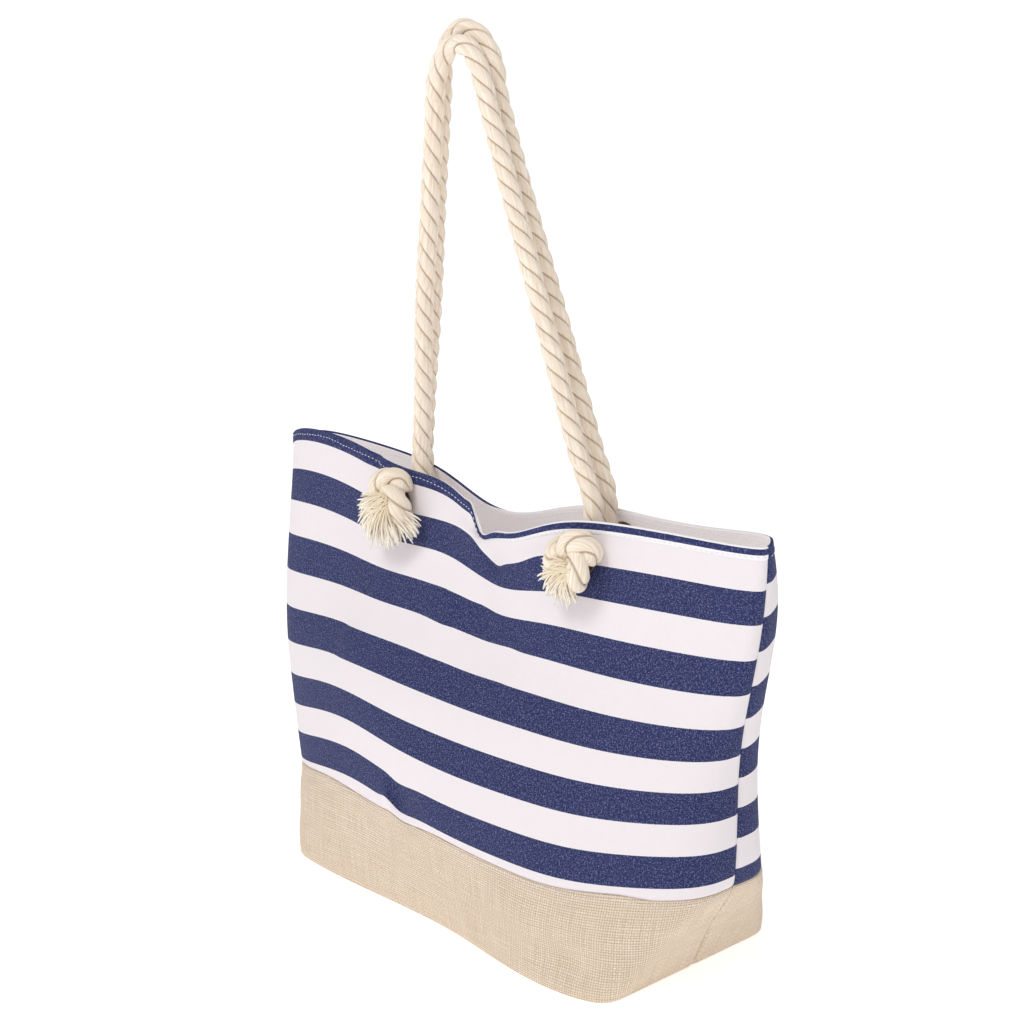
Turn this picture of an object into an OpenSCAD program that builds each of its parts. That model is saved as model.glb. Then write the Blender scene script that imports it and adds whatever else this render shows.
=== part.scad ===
// Striped canvas beach bag with a woven base and two knotted rope handles.
// Millimetres. +Z is up, the front faces -Y, and the origin is on the floor
// under the middle of the bag.

/* [Bag] */
// Width across the top edge, side seam to side seam
top_w = 548; // [450:1:660]
// Height of the top edge above the floor
bag_h = 344; // [300:1:415]
// Width of the base, end to end
base_w = 380; // [310:1:450]
// Depth of the base, front to back
base_d = 180; // [150:1:215]
// Height of the woven base above the floor
base_h = 84; // [50:1:120]
// How far the front top edge bows out from the seam line
front_bow = 32; // [30:1:44]
// How far the back top edge bows out from the seam line
back_bow = 18; // [17:1:30]
// How far the front top edge sags between its eyelets
front_sag = 22; // [0:1:30]
// How far the back top edge sags between its eyelets
back_sag = 22; // [0:1:30]

/* [Fabric] */
// Thickness of the striped canvas
canvas_t = 1.4; // [0.8:0.1:2]
// Thickness of the woven base fabric
weave_t = 1.8; // [1:0.1:2.6]
// Thickness of the lining
lining_t = 0.6; // [0.4:0.1:1]
// Height of the folded hem
hem_h = 10; // [6:1:14]
// Thickness of the folded hem, canvas over lining
hem_t = 3; // [2:0.1:4]
// Gap left between pieces that are sewn together
sewn_gap = 0.3; // [0.2:0.05:0.5]

/* [Eyelets] */
// Distance of the eyelet centres below the top edge
eyelet_drop = 28; // [28:1:50]
// Distance between the two front eyelets
front_span = 210; // [170:1:230]
// Distance between the two back eyelets
back_span = 225; // [180:1:240]
// How far the front pair sits to the right of the middle, as the bag hangs
front_shift = 21; // [0:1:24]
// How far the back pair sits to the right of the middle, as the bag hangs
back_shift = 4; // [-12:1:12]
// Radial clearance between the rope and the eyelet's bore
eyelet_clear = 0.6; // [0.4:0.1:1.5]
// Wall of the eyelet's barrel
barrel_wall = 1.2; // [0.8:0.1:2]
// Width of the flange outside the barrel
flange_w = 5; // [3:0.5:7]
// Thickness of the flange
flange_t = 1.2; // [0.8:0.1:2]
// Thickness of the washer behind the fabric
washer_t = 1; // [0.6:0.1:1.6]
// Clearance between the lining and the washer
washer_clear = 1; // [0.4:0.1:1.2]
// Clearance between the barrel and the holes that it passes through
barrel_clear = 0.3; // [0.2:0.1:0.6]

/* [Rope] */
// Diameter of the twisted cotton rope
rope_d = 15; // [12:0.5:16]
// Diameter of a knot
knot_d = 36; // [30:1:42]
// How far a knot stands out from its eyelet
knot_h = 27; // [20:1:32]
// Length of the frayed tassel under a knot
tassel_l = 38; // [20:1:46]
// Diameter of the tassel at its open end
tassel_d = 30; // [22:1:34]
// Diameter of the tassel where it leaves the knot
tassel_neck_d = 14; // [10:1:18]
// Clearance between the rope and the hem that it passes
rope_gap = 0.8; // [0.5:0.1:2]
// Height of the handle's first bend above the top edge
bend_rise = 8; // [8:0.5:14]
// Rise of the neck between the first and the second bend
neck_rise = 45; // [40:1:60]
// How far each leg has moved inwards where it passes the hem
leg_lean = 6; // [0:1:10]

/* [Hidden] */
$fn = 48;

front = 0;
back = 1;
left = 0;
right = 1;

// Shares along the height, from the floor at 0 to the top edge at 1.
// spread: how much of the way the half width has grown from the base to the top.
spread = [[0, 0], [0.12, 0.26], [0.25, 0.58], [0.5, 0.67], [0.75, 0.86], [1, 1]];
// belly: how much of the base's half depth is left, for the front and the back.
belly = [
    [[0, 1], [0.12, 1], [0.25, 1], [0.5, 0.83], [0.75, 0.28], [1, 0]],
    [[0, 1], [0.12, 0.92], [0.25, 0.83], [0.5, 0.62], [0.75, 0.33], [1, 0]]];
// squareness: exponent of the rounded outline at each height.
squareness = [[0, 16], [0.12, 7], [0.25, 3.3], [0.5, 2.9], [0.75, 2.5], [1, 2.2]];

bow = [front_bow, back_bow];
sag = [front_sag, back_sag];
// Middle and half width of the dip in each top edge.
sag_x = [36, -4];
sag_w = [52, 70];
eyelet_x = [
    [front_shift - front_span / 2, front_shift + front_span / 2],
    [back_shift - back_span / 2, back_shift + back_span / 2]];
eyelet_z = bag_h - eyelet_drop;

rope_r = rope_d / 2;
bore_r = rope_r + eyelet_clear;
barrel_r = bore_r + barrel_wall;
flange_r = barrel_r + flange_w;
lining_inset = max(canvas_t, weave_t) + sewn_gap;
fabric_stack = lining_inset + lining_t;
knot_base = sewn_gap + flange_t;
washer_top = fabric_stack + washer_clear;
// Where the woven wall and the lining start, above the base's floor.
base_foot = weave_t + sewn_gap;
lining_foot = base_foot + lining_t + sewn_gap;
// A rope segment starts this far from the bend it turns about, clear of the
// ball that ends the segment before it.
segment_start = rope_r + 0.3;
ball_r = rope_r - 0.2;
wall_steps = 32;
tube_sides = 10;

// Routes of the two loops between their second bends: x, y, and the height
// above the top edge. Left leg up, round the bend in the hand, right leg down.
loop_route = [
    [[-65, -17, 136], [-53, -16, 216], [-44, -14, 292], [-39, -14, 312], [-28, -14, 327],
     [-13, -14, 333], [1, -14, 327], [10, -14, 312], [16, -14, 292], [44, -16, 216], [73, -17, 136]],
    [[-80, 4, 136], [-68, 3, 216], [-55, 2, 292], [-52, 2, 316], [-40, 2, 337],
     [-22, 2, 345], [-4, 2, 337], [7, 2, 316], [11, 2, 292], [36, 3, 216], [65, 4, 136]]];
// Where the second bends sit: x of the left and the right one.
second_bend_x = [[-73, 101], [-95, 94]];
// How far the neck leans towards the seam plane over its rise.
neck_lean = 1;

// ---- The bag's outline ----

function half_w(t) = base_w / 2 + (top_w - base_w) / 2 * lookup(t, spread);
function depth_at(t, side) = bow[side] + (base_d / 2 - bow[side]) * lookup(t, belly[side]);
function height_at(t, x, side) =
    bag_h * t - sag[side] * pow(t, 4) * exp(-pow((x - sag_x[side]) / sag_w[side], 2));

// Distance from the seam plane to the outer face at a place across the bag.
function wall_y(x, t, side) =
    let (n = lookup(t, squareness))
    depth_at(t, side) * pow(1 - pow(abs(x) / half_w(t), n), 1 / n);

// One point of a half outline, turned by f degrees from the right seam, and
// set inwards from the outer face. Both halves are drawn towards -Y.
function rim_point(t, f, side, inset) =
    let (n = lookup(t, squareness),
         r = pow(pow(abs(cos(f)), n) + pow(abs(sin(f)), n), -1 / n),
         x = (half_w(t) - inset) * r * cos(f))
    [x, -sewn_gap / 2 - (depth_at(t, side) - inset) * r * sin(f), height_at(t, x, side)];

// The heights that every wall takes its rows from, so that one sheet lies
// evenly inside another: the shares above, halfway between them, and where
// the pieces start and end.
shares = concat([for (i = [0:len(spread) - 2]) each [spread[i][0], (spread[i][0] + spread[i + 1][0]) / 2]],
    [for (z = [base_foot, lining_foot, base_h, base_h + sewn_gap, bag_h - hem_h - sewn_gap, bag_h - hem_h, bag_h])
        z / bag_h]);
function between(list, low, high) =
    let (inside = [for (s = list) if (s >= low - 1e-6 && s <= high + 1e-6) s])
    len(inside) == 0 ? [] :
    let (first = min(inside))
    concat([first], between([for (s = inside) if (s > first + 1e-6) s], low, high));
function levels(z0, z1) = between(shares, z0 / bag_h, z1 / bag_h);

// A sheet of even thickness that follows half of the outline from z0 to z1.
// Both faces split their quads along the same diagonal, so that sheets nest.
module wall(z0, z1, inset, thick, side) {
    lv = levels(z0, z1);
    m = len(lv) - 1;
    w = wall_steps + 1;
    points = [for (k = [0, 1]) for (i = [0:m]) for (j = [0:wall_steps])
        rim_point(lv[i], 180 * j / wall_steps, side, inset + k * thick)];
    in0 = (m + 1) * w;
    function at(i, j) = i * w + j;
    function in_at(i, j) = in0 + i * w + j;
    quads = concat(
        [for (i = [0:m - 1]) for (j = [0:wall_steps - 1]) each [
            [at(i, j + 1), at(i + 1, j + 1), at(i + 1, j), at(i, j)],
            [in_at(i, j + 1), in_at(i, j), in_at(i + 1, j), in_at(i + 1, j + 1)]]],
        [for (j = [0:wall_steps - 1]) each [
            [at(m, j + 1), in_at(m, j + 1), in_at(m, j), at(m, j)],
            [at(0, j), in_at(0, j), in_at(0, j + 1), at(0, j + 1)]]],
        [for (i = [0:m - 1]) each [
            [at(i, 0), at(i + 1, 0), in_at(i + 1, 0), in_at(i, 0)],
            [at(i + 1, wall_steps), at(i, wall_steps), in_at(i, wall_steps), in_at(i + 1, wall_steps)]]]);
    faces = [for (q = quads) each [[q[0], q[1], q[2]], [q[0], q[2], q[3]]]];
    to_side(side) polyhedron(points, faces);
}

// Everything that belongs to a side is drawn towards -Y, and the back is mirrored.
module to_side(side) {
    if (side == back) mirror([0, 1, 0]) children();
    else children();
}

// A flat sheet that fills the outline at the floor.
module floor_sheet(z0, thick, inset) {
    t = z0 / bag_h;
    half = [for (s = [front, back]) [for (j = [0:wall_steps]) rim_point(t, 180 * j / wall_steps, s, inset)]];
    outline = concat(
        [for (p = half[front]) [p[0], p[1]]],
        [for (j = [wall_steps:-1:0]) [half[back][j][0], -half[back][j][1]]]);
    translate([0, 0, z0]) linear_extrude(thick) polygon(outline);
}

// ---- Places on the wall ----

function unit(v) = v / norm(v);
function eyelet_point(side, hand) =
    let (x = eyelet_x[side][hand])
    [x, -sewn_gap / 2 - wall_y(x, eyelet_z / bag_h, side), eyelet_z];
function eyelet_normal(side, hand) =
    let (x = eyelet_x[side][hand], t = eyelet_z / bag_h, e = 2,
         slope_x = (wall_y(x + e, t, side) - wall_y(x - e, t, side)) / (2 * e),
         slope_z = (wall_y(x, t + e / bag_h, side) - wall_y(x, t - e / bag_h, side)) / (2 * e))
    unit([-slope_x, -1, -slope_z]);

// Puts children at an eyelet, with +Z out of the wall and +X down along it.
module at_eyelet(side, hand) {
    n = eyelet_normal(side, hand);
    to_side(side) translate(eyelet_point(side, hand))
        rotate([0, acos(n[2]), atan2(n[1], n[0])]) children();
}

// ---- Rope ----

function first_bend(side, hand) =
    let (lean = hand == left ? leg_lean : -leg_lean,
         reach = [for (h = [left, right]) wall_y(eyelet_x[side][h], 1, side)])
    [eyelet_x[side][hand] + lean,
     -(min(reach) + sewn_gap / 2 - hem_t - rope_r - rope_gap),
     bag_h + bend_rise];
function second_bend(side, hand) =
    [second_bend_x[side][hand], first_bend(side, hand)[1] + neck_lean, bag_h + bend_rise + neck_rise];

// Catmull-Rom points between the points of a route.
function blend_point(a, b, c, d, u) =
    0.5 * (2 * b + (c - a) * u + (2 * a - 5 * b + 4 * c - d) * u * u
        + (3 * b - a - 3 * c + d) * u * u * u);
function smooth_route(p, steps) =
    let (last = len(p) - 1)
    concat([for (i = [0:last - 1]) each [for (k = [0:steps - 1])
        blend_point(p[max(i - 1, 0)], p[i], p[i + 1], p[min(i + 2, last)], k / steps)]],
        [p[last]]);
function tangent(p, i) = unit(p[min(i + 1, len(p) - 1)] - p[max(i - 1, 0)]);

// A round tube swept along a route, one ring to a point.
module tube(route, radius, across) {
    n = len(route) - 1;
    points = [for (i = [0:n])
        let (t = tangent(route, i), u = unit(across - (across * t) * t), v = cross(t, u))
        for (k = [0:tube_sides - 1])
            route[i] + radius * (cos(360 * k / tube_sides) * u + sin(360 * k / tube_sides) * v)];
    function at(i, k) = i * tube_sides + k % tube_sides;
    sides = [for (i = [0:n - 1]) for (k = [0:tube_sides - 1]) each [
        [at(i, k), at(i + 1, k), at(i + 1, k + 1)], [at(i, k), at(i + 1, k + 1), at(i, k + 1)]]];
    ends = [[for (k = [0:tube_sides - 1]) at(0, k)], [for (k = [tube_sides - 1:-1:0]) at(n, k)]];
    polyhedron(points, concat(sides, ends));
}

// From the knot through the eyelet, round inside the bag and up past the hem.
module tail(side, hand) {
    e = eyelet_point(side, hand);
    n = eyelet_normal(side, hand);
    p = first_bend(side, hand);
    inner = e - (washer_top + washer_t + 1) * n;
    corner = [(inner[0] + p[0]) / 2, p[1], inner[2] + 1];
    top = [p[0], p[1], inner[2] + 14];
    bend = [for (u = [0:0.25:1]) (1 - u) * (1 - u) * inner + 2 * u * (1 - u) * corner + u * u * top];
    color("wheat") to_side(side) union() {
        tube(concat([e + knot_base * n], bend, [p]), rope_r, [1, 0, 0]);
        translate(p) sphere(ball_r);
    }
}

module neck(side, hand) {
    p = first_bend(side, hand);
    q = second_bend(side, hand);
    along = unit(q - p);
    color("wheat") to_side(side) union() {
        tube([p + segment_start * along, (p + q) / 2, q], rope_r, [1, 0, 0]);
        translate(q) sphere(ball_r);
    }
}

module loop(side) {
    y_sign = side == front ? 1 : -1;
    ends = [for (h = [left, right]) let (q = second_bend(side, h)) [q[0], y_sign * q[1], q[2]]];
    middle = [for (p = loop_route[side]) [p[0], p[1], bag_h + p[2]]];
    route = concat(
        [ends[left] + segment_start * unit(middle[0] - ends[left])], middle,
        [ends[right] + segment_start * unit(middle[len(middle) - 1] - ends[right])]);
    color("wheat") tube(smooth_route(route, 2), rope_r, [0, 1, 0]);
}

// ---- Pieces at an eyelet ----

module eyelet(side, hand) {
    rim = flange_t / 2;
    profile = [
        [bore_r, -washer_top - washer_t - 0.4],
        [barrel_r, -washer_top - washer_t - 0.4],
        [barrel_r, sewn_gap],
        [flange_r - rim, sewn_gap],
        for (a = [-60:30:60]) [flange_r - rim + rim * cos(a), sewn_gap + rim + rim * sin(a)],
        [flange_r - rim, sewn_gap + flange_t],
        [bore_r, sewn_gap + flange_t]];
    color("goldenrod") at_eyelet(side, hand) rotate_extrude() polygon(profile);
}

module washer(side, hand) {
    color("goldenrod") at_eyelet(side, hand)
        translate([0, 0, -washer_top - washer_t]) difference() {
            cylinder(r = flange_r, h = washer_t);
            translate([0, 0, -1]) cylinder(r = barrel_r + barrel_clear, h = washer_t + 2);
        }
}

module knot(side, hand) {
    r = knot_d / 2;
    profile = concat([[0, 0]],
        [for (a = [-75:15:75]) [r * pow(cos(a), 0.6), knot_h / 2 * (1 + sin(a) / sin(75))]],
        [[0, knot_h]]);
    color("wheat") at_eyelet(side, hand) translate([0, 0, knot_base]) rotate_extrude() polygon(profile);
}

module tassel(side, hand) {
    color("cornsilk") at_eyelet(side, hand)
        translate([knot_d / 2 + sewn_gap, 0, knot_base + tassel_d / 2])
            rotate([0, 90, 0]) cylinder(d1 = tassel_neck_d, d2 = tassel_d, h = tassel_l);
}

module barrel_holes(side) {
    for (hand = [left, right]) at_eyelet(side, hand)
        translate([0, 0, -20]) cylinder(r = barrel_r + barrel_clear, h = 24);
}

// ---- Fabric pieces ----

module panel(side) {
    color("navy") difference() {
        wall(base_h + sewn_gap, bag_h - hem_h - sewn_gap, 0, canvas_t, side);
        barrel_holes(side);
    }
}

module hem(side) {
    color("midnightblue") wall(bag_h - hem_h, bag_h, 0, hem_t, side);
}

module lining(side) {
    color("whitesmoke") difference() {
        wall(lining_foot, bag_h - hem_h - sewn_gap, lining_inset, lining_t, side);
        barrel_holes(side);
    }
}

module lining_floor() {
    color("whitesmoke") floor_sheet(base_foot, lining_t, lining_inset);
}

module base_wall(side) {
    color("burlywood") wall(base_foot, base_h, 0, weave_t, side);
}

module base_floor() {
    color("burlywood") floor_sheet(0, weave_t, 0);
}

panel(front);  // front_panel
panel(back);  // back_panel
hem(front);  // front_hem
hem(back);  // back_hem
lining(front);  // front_lining
lining(back);  // back_lining
lining_floor();
base_wall(front);  // base_front
base_wall(back);  // base_back
base_floor();
eyelet(front, left);  // eyelet_front_left
eyelet(front, right);  // eyelet_front_right
eyelet(back, left);  // eyelet_back_left
eyelet(back, right);  // eyelet_back_right
washer(front, left);  // washer_front_left
washer(front, right);  // washer_front_right
washer(back, left);  // washer_back_left
washer(back, right);  // washer_back_right
knot(front, left);  // knot_front_left
knot(front, right);  // knot_front_right
knot(back, left);  // knot_back_left
knot(back, right);  // knot_back_right
tassel(front, left);  // tassel_front_left
tassel(front, right);  // tassel_front_right
tassel(back, left);  // tassel_back_left
tassel(back, right);  // tassel_back_right
tail(front, left);  // tail_front_left
tail(front, right);  // tail_front_right
tail(back, left);  // tail_back_left
tail(back, right);  // tail_back_right
neck(front, left);  // front_neck_left
neck(front, right);  // front_neck_right
loop(front);  // front_loop
neck(back, left);  // back_neck_left
neck(back, right);  // back_neck_right
loop(back);  // back_loop
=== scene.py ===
# Striped canvas beach bag: the looks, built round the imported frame.
# Shapes are worked out in millimetres and written to the meshes in metres, and turns are in degrees.
from math import cos, pi, radians, sin

import bpy
import numpy as np
from mathutils import Matrix, Vector


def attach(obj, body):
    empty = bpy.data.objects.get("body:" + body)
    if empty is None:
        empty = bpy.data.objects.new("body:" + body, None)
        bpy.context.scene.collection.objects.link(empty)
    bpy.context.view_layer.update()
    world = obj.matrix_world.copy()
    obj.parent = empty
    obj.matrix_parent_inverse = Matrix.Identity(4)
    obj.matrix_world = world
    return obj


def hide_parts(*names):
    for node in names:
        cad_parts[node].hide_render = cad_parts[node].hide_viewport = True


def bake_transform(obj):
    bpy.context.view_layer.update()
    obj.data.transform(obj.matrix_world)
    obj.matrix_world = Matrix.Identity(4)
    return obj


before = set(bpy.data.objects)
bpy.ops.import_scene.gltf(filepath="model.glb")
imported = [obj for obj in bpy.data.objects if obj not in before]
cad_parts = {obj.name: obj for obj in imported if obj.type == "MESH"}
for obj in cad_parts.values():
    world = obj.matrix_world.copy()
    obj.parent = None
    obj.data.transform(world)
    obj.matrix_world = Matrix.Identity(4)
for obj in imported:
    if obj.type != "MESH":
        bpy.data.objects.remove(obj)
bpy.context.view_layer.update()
chance = np.random.default_rng(7)
mm = 0.001

# Small tools


def smoothTable(x, table):
    # Hermite curve through the table's points, whose slopes are harmonic means, so it never overshoots
    knots, values = np.array(table, float).T
    step = np.diff(knots)
    slope = np.diff(values) / step
    product = slope[1:] * slope[:-1]
    inner = np.where(product > 0, 2 * product / np.where(product > 0, slope[1:] + slope[:-1], 1), 0)
    tangent = np.concatenate([slope[:1], inner, slope[-1:]])
    x = np.clip(x, knots[0], knots[-1])
    k = np.clip(np.searchsorted(knots, x, side="right") - 1, 0, len(step) - 1)
    u = (x - knots[k]) / step[k]
    return (
        (1 + 2 * u) * (1 - u) ** 2 * values[k]
        + u * (1 - u) ** 2 * step[k] * tangent[k]
        + u**2 * (3 - 2 * u) * values[k + 1]
        - u**2 * (1 - u) * step[k] * tangent[k + 1]
    )


def unit(v):
    return v / np.linalg.norm(v, axis=-1, keepdims=True)


def runAlong(points):
    # Distance from the first point to each one along the line
    return np.concatenate([[0], np.cumsum(np.linalg.norm(np.diff(points, axis=0), axis=1))])


def evenPath(points, spacing):
    # Catmull-Rom curve through the points, then resampled so that its points lie evenly along its length
    p = np.array(points, float)
    p = np.vstack([2 * p[0] - p[1], p, 2 * p[-1] - p[-2]])
    u = np.linspace(0, 1, 24, endpoint=False)[:, None]
    a, b, c, d = p[:-3, None], p[1:-2, None], p[2:-1, None], p[3:, None]
    curve = 0.5 * (2 * b + (c - a) * u + (2 * a - 5 * b + 4 * c - d) * u**2 + (3 * b - a - 3 * c + d) * u**3)
    curve = np.vstack([curve.reshape(-1, 3), p[-2:-1]])
    run = runAlong(curve)
    count = max(int(round(run[-1] / spacing)), 2)
    at = np.linspace(0, run[-1], count + 1)
    return np.stack([np.interp(at, run, curve[:, k]) for k in range(3)], -1), at


def carriedFrame(path):
    # Two directions across the path at each point, turned as little as possible from one point to the next
    along = unit(np.gradient(path, axis=0))
    side = np.empty_like(path)
    first = np.cross(along[0], [0.0, 0.0, 1.0])
    if np.linalg.norm(first) < 0.2:
        first = np.cross(along[0], [0.0, 1.0, 0.0])
    side[0] = unit(first)
    for k in range(1, len(path)):
        v = side[k - 1] - along[k] * (side[k - 1] @ along[k])
        side[k] = v / np.linalg.norm(v)
    return along, side, np.cross(along, side)


def makePiece(name, points, faces, uv=None, body="bag", material=None, slot=None, tints=None):
    # uv holds one row for each corner of each face, and tints one value for each point
    mesh = bpy.data.meshes.new(name)
    if not isinstance(faces, list):
        faces = faces.tolist()
    mesh.from_pydata((np.asarray(points, float) * mm).tolist(), [], faces)
    if uv is not None:
        mesh.uv_layers.new(name="cut").data.foreach_set("uv", np.asarray(uv, np.float32).ravel())
    if tints is not None:
        layer = mesh.attributes.new("tint", "FLOAT", "POINT")
        layer.data.foreach_set("value", np.asarray(tints, np.float32).ravel())
    mesh.polygons.foreach_set("use_smooth", [True] * len(mesh.polygons))
    mesh.update()
    piece = bpy.data.objects.new(name, mesh)
    bpy.context.scene.collection.objects.link(piece)
    if material:
        mesh.materials.append(material)
    if body:
        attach(piece, body)
    return piece


def gridFaces(rows, cols, closed=False):
    # Quads of a grid, closed or open across its columns, with each corner's row and column before it wraps
    i, j = np.meshgrid(np.arange(rows - 1), np.arange(cols if closed else cols - 1), indexing="ij")
    row = np.stack([i, i, i + 1, i + 1], -1).reshape(-1, 4)
    col = np.stack([j, j + 1, j + 1, j], -1).reshape(-1, 4)
    return row * cols + col % cols, row, col


def fanFaces(first, count, apex, backwards=False):
    # Triangles from a ring of points, which starts at first, to one point
    here = np.arange(count)
    pair = [first + here, first + (here + 1) % count]
    return np.stack([*(pair[::-1] if backwards else pair), np.full(count, apex)], -1).tolist()


def thinTubes(name, paths, side, over, thick, sides, finish, slot, tints=None):
    # Closed tubes, one for each row of paths, with side and over across them and a radius for each point
    count, steps = paths.shape[:2]
    ring = (np.arange(sides) / sides * 2 * pi)[:, None]
    thick = np.broadcast_to(thick, (count, steps))[:, :, None, None]
    around = side[:, :, None] * np.cos(ring) * thick + over[:, :, None] * np.sin(ring) * thick
    block = steps * sides
    first = np.arange(count)[:, None] * block
    faces = (gridFaces(steps, sides, closed=True)[0][None] + first[:, :, None]).reshape(-1, 4).tolist()
    cap = np.arange(sides)
    faces += (first + cap[::-1]).tolist() + (first + block - sides + cap).tolist()
    points = (paths[:, :, None] + around).reshape(-1, 3)
    return makePiece(name, points, faces, None, "bag", finish, slot, tints)


def sheetPiece(name, grid, cut, thick, **others):
    # An open grid of points with its cut coordinates, given a wall that grows inwards
    rows, cols = grid.shape[:2]
    faces, row, col = gridFaces(rows, cols)
    piece = makePiece(name, grid.reshape(-1, 3), faces, cut[row, col].reshape(-1, 2), **others)
    wall = piece.modifiers.new("wall", "SOLIDIFY")
    wall.thickness = thick * mm
    wall.offset = -1
    wall.use_even_offset = True
    return piece


# Camera

camera = {
    "azimuth": 49.1,
    "elevation": 15.42,
    "roll": -2.29,
    "distance": 1712.64,
    "lens": 77.30,
    "sensor": 36,
    "target": (3.85, 4.44, 318.33),
}


def makeCamera():
    # Looks back along the azimuth and elevation at the target, rolled about its own axis
    a, e, r = (radians(camera[k]) for k in ("azimuth", "elevation", "roll"))
    back = Vector((sin(a) * cos(e), -cos(a) * cos(e), sin(e)))
    across = Vector((0, 0, 1)).cross(back).normalized()
    up = back.cross(across)
    right = across * cos(r) + up * sin(r)
    above = up * cos(r) - across * sin(r)
    made = bpy.data.objects.new("camera", bpy.data.cameras.new("camera"))
    made.data.lens = camera["lens"]
    made.data.sensor_width = camera["sensor"]
    place = (Vector(camera["target"]) + back * camera["distance"]) * mm
    made.matrix_world = Matrix.Translation(place) @ Matrix((right, above, back)).transposed().to_4x4()
    bpy.context.scene.collection.objects.link(made)
    bpy.context.scene.camera = made


makeCamera()
print("camera placed")

# Finishes


class Wire:
    # One output of a node; arithmetic on it adds Math nodes
    def __init__(self, finish, socket):
        self.finish, self.socket = finish, socket

    def math(self, operation, *others):
        return self.finish.node("Math", {"operation": operation}, dict(enumerate((self, *others))))

    def __add__(self, other):
        return self.math("ADD", other)

    def __mul__(self, other):
        return self.math("MULTIPLY", other)

    def __sub__(self, other):
        return self.math("SUBTRACT", other)

    def __truediv__(self, other):
        return self.math("DIVIDE", other)

    def __rsub__(self, other):
        return (self * -1) + other


class Finish:
    # A material whose Principled shader is fed by node()
    def __init__(self, name, **fixed):
        self.material = bpy.data.materials.new(name)
        self.material.use_nodes = True
        self.tree = self.material.node_tree
        self.shader = next(n for n in self.tree.nodes if n.type == "BSDF_PRINCIPLED")
        for socket, value in fixed.items():
            self.shader.inputs[socket.replace("_", " ")].default_value = value

    def feed(self, socket, value):
        if isinstance(value, Wire):
            self.tree.links.new(value.socket, socket)
        else:
            socket.default_value = value

    def node(self, kind, settings=None, inputs=None, output=0):
        made = self.tree.nodes.new("ShaderNode" + kind)
        for key, value in (settings or {}).items():
            setattr(made, key, value)
        for key, value in (inputs or {}).items():
            self.feed(made.inputs[key], value)
        return Wire(self, made.outputs[output])

    def mix(self, share, first, second):
        return self.node("Mix", {"data_type": "RGBA"}, {0: share, 6: first, 7: second}, 2)

    def noise(self, where, scale, detail=2.0, roughness=0.5):
        inputs = {"Vector": where, "Scale": scale, "Detail": detail, "Roughness": roughness}
        return self.node("TexNoise", {}, inputs)

    def spread(self, value, low, high, first, last):
        # Takes low to high over to first to last, and stops there
        return self.node("MapRange", {}, {0: value, 1: low, 2: high, 3: first, 4: last})

    def tint(self):
        return self.node("Attribute", {"attribute_name": "tint"}, {}, 2)

    def place(self):
        return self.node("TexCoord", {}, {}, 3)

    def cut(self):
        # u and v of the piece's own flat pattern, in millimetres
        flat = self.node("UVMap", {"uv_map": "cut"})
        return [self.node("SeparateXYZ", {}, {0: flat}, k) for k in (0, 1)]

    def join(self, x, y):
        return self.node("CombineXYZ", {}, {0: x, 1: y, 2: 0.0})

    def finish(self, colour, height, strength, depth, roughness=None):
        # strength and depth, in millimetres, are those of the bump
        self.feed(self.shader.inputs["Base Color"], colour)
        if roughness is not None:
            self.feed(self.shader.inputs["Roughness"], roughness)
        bump = self.node("Bump", {}, {"Strength": strength, "Distance": depth * mm, "Height": height})
        self.feed(self.shader.inputs["Normal"], bump)
        return self.material


def plainWeave(f, u, v, pitch, wander, wanderScale):
    # Height of a plain weave: each yarn is a half round that rises over one crossing and dips under the next.
    # A yarn wanders sideways slowly along its own length.
    driftV = f.noise(f.join(u * 0.02, v), wanderScale, 2)
    driftU = f.noise(f.join(u, v * 0.02), wanderScale, 2)
    a = (u + (driftU - 0.5) * wander) / pitch
    b = (v + (driftV - 0.5) * wander) / pitch
    warp = (a * pi).math("SINE").math("ABSOLUTE")
    weft = (b * pi).math("SINE").math("ABSOLUTE")
    over = ((a.math("FLOOR") + b.math("FLOOR")) * 0.5).math("FRACT") * 2  # 0 or 1 like a chessboard
    return (warp * (over * 0.5 + 0.5)).math("MAXIMUM", weft * (1 - over * 0.5)), over


def rgb(r, g, b):
    # A colour as seen on a screen, 0 to 255, turned to linear light
    c = np.array([r, g, b]) / 255
    return (*np.where(c <= 0.04045, c / 12.92, ((c + 0.055) / 1.055) ** 2.4), 1.0)


canvasLook = {
    "navy": rgb(46, 52, 98),
    "navyLight": rgb(144, 150, 188),
    # navyDark is the tone of darker patches and also painted shade in the weave's gaps; whiteShade is painted
    # shade in the gaps
    "navyDark": rgb(33, 39, 82),
    "white": rgb(237, 230, 233),
    "whiteShade": rgb(214, 206, 210),
    "hemWhite": rgb(246, 244, 246),
    # width of a stripe, and the height on the cloth where the topmost navy one ends, front and back
    "stripe": 24.65,
    "stripeTop": (310.9, 340.0),
    "yarn": 0.95,
    "wander": 0.5,
    "wanderScale": 0.25,
    "bump": 0.55,
    "depth": 0.25,
}


def canvasWeave(f, u, v, yarn):
    return plainWeave(f, u, v, yarn, canvasLook["wander"], canvasLook["wanderScale"])[0]


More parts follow.
